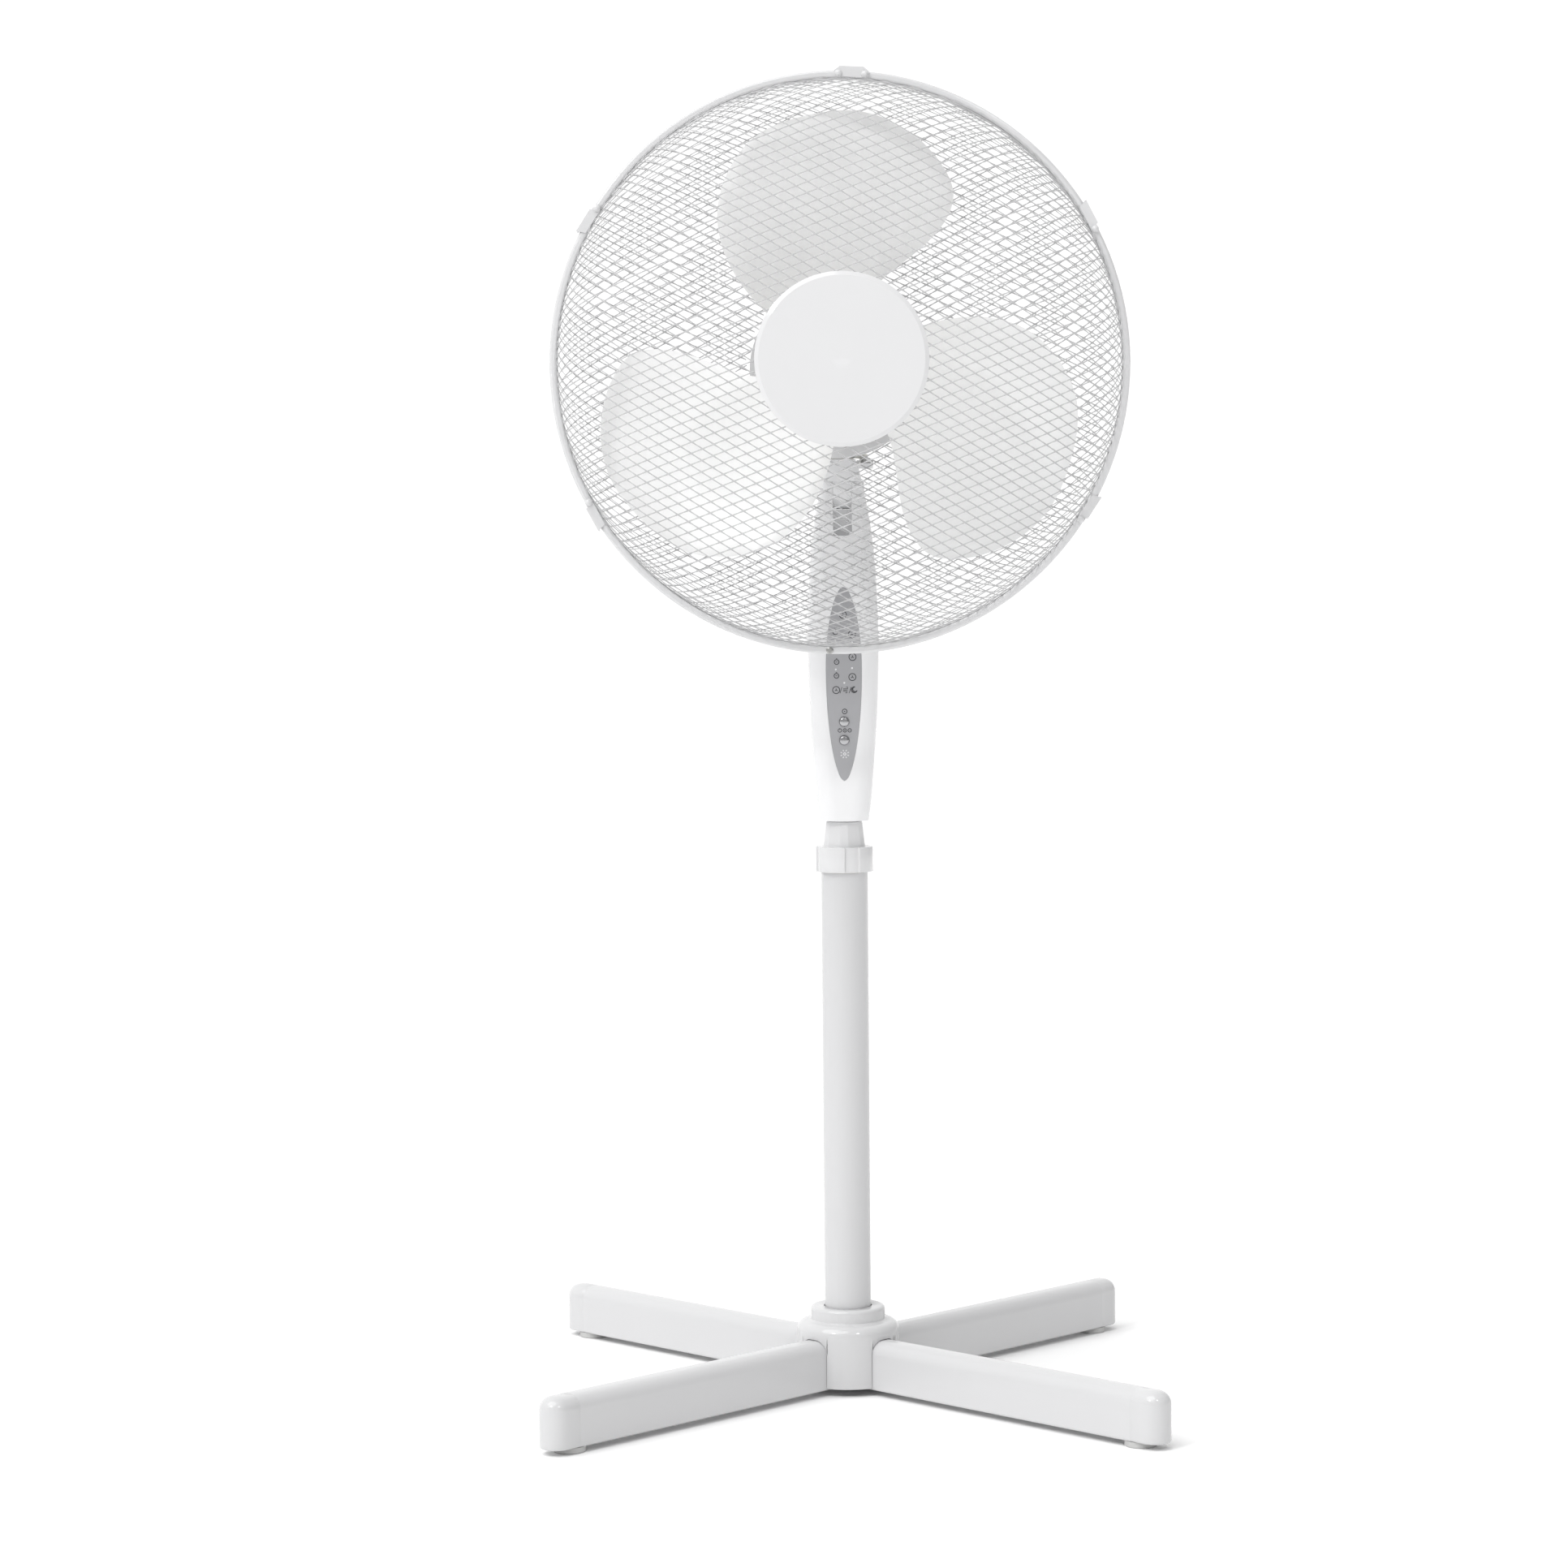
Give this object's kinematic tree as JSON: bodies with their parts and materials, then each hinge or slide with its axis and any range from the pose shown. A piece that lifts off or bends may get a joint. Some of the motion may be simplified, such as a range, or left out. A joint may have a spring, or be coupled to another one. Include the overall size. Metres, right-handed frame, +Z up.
{
  "type": "pedestal fan",
  "caption": "Pedestal fan: crossed tube legs, sliding pole, tapered control housing, tilting and oscillating head, three broad blades in a domed lattice guard.",
  "frame": {"origin": "on the floor, under the pole's axis", "axes": "+Z up, the fan blows towards -Y, +X to the viewer's right when facing the guard"},
  "size_m": [0.4584, 0.4584, 1.0024],
  "materials": {
    "cross_tube_lower": "satin powder coat",
    "cross_tube_upper": "satin powder coat",
    "leg_end_caps": "glossy",
    "foot_pads": "matte",
    "base_cover": "glossy",
    "pole_saddle": "brushed",
    "base_bolt": "brushed",
    "outer_pole": "satin powder coat",
    "clamp_collet": "satin",
    "height_collar": "glossy",
    "inner_pole": "polished",
    "inner_pole_bush": "matte",
    "housing_front": "glossy",
    "housing_rear": "glossy",
    "housing_screws": "brushed",
    "control_panel": "satin",
    "control_board": "solder mask",
    "cord_gland": "satin",
    "tilt_bolt": "brushed",
    "tilt_caps": "glossy",
    "power_button": "polished",
    "speed_button": "polished",
    "neck_bracket": "glossy",
    "oscillation_pin": "brushed",
    "thrust_washer": "satin",
    "crank_link": "brushed",
    "front_bracket": "as cast",
    "rear_bracket": "as cast",
    "stator_core": "laminated",
    "stator_windings": "enamelled",
    "shaft_bearings": "sintered",
    "motor_bolts": "brushed",
    "run_capacitor": "matte",
    "motor_cover": "glossy",
    "gearbox_case": "matte",
    "gearbox_lid": "matte",
    "worm_wheel": "satin",
    "crank_gear": "satin",
    "oscillation_knob": "glossy",
    "motor_shaft": "brushed",
    "rotor_core": "laminated",
    "blade_nut": "glossy",
    "fan_blade": "glossy",
    "drive_pin": "brushed",
    "rear_guard_plate": "satin powder coat",
    "rear_guard_mesh": "satin powder coat",
    "rear_guard_ring": "satin powder coat",
    "guard_nut": "glossy",
    "front_guard_mesh": "satin powder coat",
    "front_guard_ring": "satin powder coat",
    "badge_disc": "glossy",
    "badge_plate": "satin",
    "badge_screws": "brushed",
    "guard_rivets": "satin powder coat",
    "safety_screw": "zinc plated",
    "guard_clip_1": "satin powder coat",
    "guard_clip_2": "satin powder coat",
    "guard_clip_3": "satin powder coat",
    "guard_clip_4": "satin powder coat",
    "top_hook": "satin powder coat"
  },
  "bodies": {
    "base": {"cross_tube_lower": "cross_tube_lower", "cross_tube_upper": "cross_tube_upper", "leg_end_caps": "leg_end_caps", "foot_pads": "foot_pads", "base_cover": "base_cover", "pole_saddle": "pole_saddle", "base_bolt": "base_bolt", "outer_pole": "outer_pole", "clamp_collet": "clamp_collet"},
    "collar": {"height_collar": "height_collar"},
    "column": {"inner_pole": "inner_pole", "inner_pole_bush": "inner_pole_bush", "housing_front": "housing_front", "housing_rear": "housing_rear", "housing_screws": "housing_screws", "control_panel": "control_panel", "control_board": "control_board", "cord_gland": "cord_gland", "tilt_bolt": "tilt_bolt", "tilt_caps": "tilt_caps"},
    "power_key": {"power_button": "power_button"},
    "speed_key": {"speed_button": "speed_button"},
    "neck": {"neck_bracket": "neck_bracket", "oscillation_pin": "oscillation_pin", "thrust_washer": "thrust_washer"},
    "link": {"crank_link": "crank_link"},
    "head": {"front_bracket": "front_bracket", "rear_bracket": "rear_bracket", "stator_core": "stator_core", "stator_windings": "stator_windings", "shaft_bearings": "shaft_bearings", "motor_bolts": "motor_bolts", "run_capacitor": "run_capacitor", "motor_cover": "motor_cover", "gearbox_case": "gearbox_case", "gearbox_lid": "gearbox_lid", "rear_guard_plate": "rear_guard_plate", "rear_guard_mesh": "rear_guard_mesh", "rear_guard_ring": "rear_guard_ring", "guard_nut": "guard_nut", "front_guard_mesh": "front_guard_mesh", "front_guard_ring": "front_guard_ring", "badge_disc": "badge_disc", "badge_plate": "badge_plate", "badge_screws": "badge_screws", "guard_rivets": "guard_rivets", "safety_screw": "safety_screw", "top_hook": "top_hook"},
    "rotor": {"motor_shaft": "motor_shaft", "rotor_core": "rotor_core", "blade_nut": "blade_nut", "fan_blade": "fan_blade", "drive_pin": "drive_pin"},
    "wheel": {"worm_wheel": "worm_wheel"},
    "crank": {"crank_gear": "crank_gear"},
    "knob": {"oscillation_knob": "oscillation_knob"},
    "clip_1": {"guard_clip_1": "guard_clip_1"},
    "clip_2": {"guard_clip_2": "guard_clip_2"},
    "clip_3": {"guard_clip_3": "guard_clip_3"},
    "clip_4": {"guard_clip_4": "guard_clip_4"}
  },
  "joints": [
    {"name": "height_slide", "type": "slide", "parent": "base", "child": "column", "axis": [0, 0, 1], "range_m": [0, 0.21]},
    {"name": "collar_turn", "type": "hinge", "parent": "base", "child": "collar", "pos_m": [0, 0, 0.42], "axis": [0, 0, 1], "range_deg": [0, 120]},
    {"name": "head_tilt", "type": "hinge", "parent": "column", "child": "neck", "pos_m": [0, 0, 0.699], "axis": [1, 0, 0], "range_deg": [-20, 15]},
    {"name": "oscillation", "type": "hinge", "parent": "neck", "child": "head", "pos_m": [0, 0, 0.74], "axis": [0, 0, 1], "range_deg": [-37, 37]},
    {"name": "link_swing", "type": "hinge", "parent": "neck", "child": "link", "pos_m": [0.0196, 0.0019, 0.722], "axis": [0, 0, 1], "range_deg": [-34, 34]},
    {"name": "blade_spin", "type": "hinge", "parent": "head", "child": "rotor", "pos_m": [-0.004, 0, 0.788], "axis": [0, 1, 0], "continuous": true},
    {"name": "wheel_turn", "type": "hinge", "parent": "head", "child": "wheel", "pos_m": [-0.018, 0.036, 0.785], "axis": [0, 0, 1], "continuous": true},
    {"name": "crank_turn", "type": "hinge", "parent": "head", "child": "crank", "pos_m": [0.006, 0.036, 0.75], "axis": [0, 0, 1], "continuous": true},
    {"name": "knob_pull", "type": "slide", "parent": "head", "child": "knob", "axis": [0, 0, 1], "range_m": [0, 0.006]},
    {"name": "power_press", "type": "slide", "parent": "column", "child": "power_key", "axis": [0, 1, 0], "range_m": [0, 0.001], "stiffness_N_per_m": 900},
    {"name": "speed_press", "type": "slide", "parent": "column", "child": "speed_key", "axis": [0, 1, 0], "range_m": [0, 0.001], "stiffness_N_per_m": 900},
    {"name": "clip_1_swing", "type": "hinge", "parent": "head", "child": "clip_1", "pos_m": [0.18189, -0.164, 0.88353], "axis": [0, 1, 0], "range_deg": [0, 80]},
    {"name": "clip_2_swing", "type": "hinge", "parent": "head", "child": "clip_2", "pos_m": [-0.17968, -0.164, 0.90122], "axis": [0, 1, 0], "range_deg": [0, 80]},
    {"name": "clip_3_swing", "type": "hinge", "parent": "head", "child": "clip_3", "pos_m": [-0.18785, -0.164, 0.68859], "axis": [0, 1, 0], "range_deg": [0, 80]},
    {"name": "clip_4_swing", "type": "hinge", "parent": "head", "child": "clip_4", "pos_m": [0.17068, -0.164, 0.67325], "axis": [0, 1, 0], "range_deg": [0, 80]}
  ],
  "couplings": [
    {"joint": "wheel_turn", "follows": "blade_spin", "ratio": -0.041667},
    {"joint": "crank_turn", "follows": "blade_spin", "ratio": 0.0083333},
    {"joint": "link_swing", "follows": "oscillation", "ratio": 0.9}
  ]
}
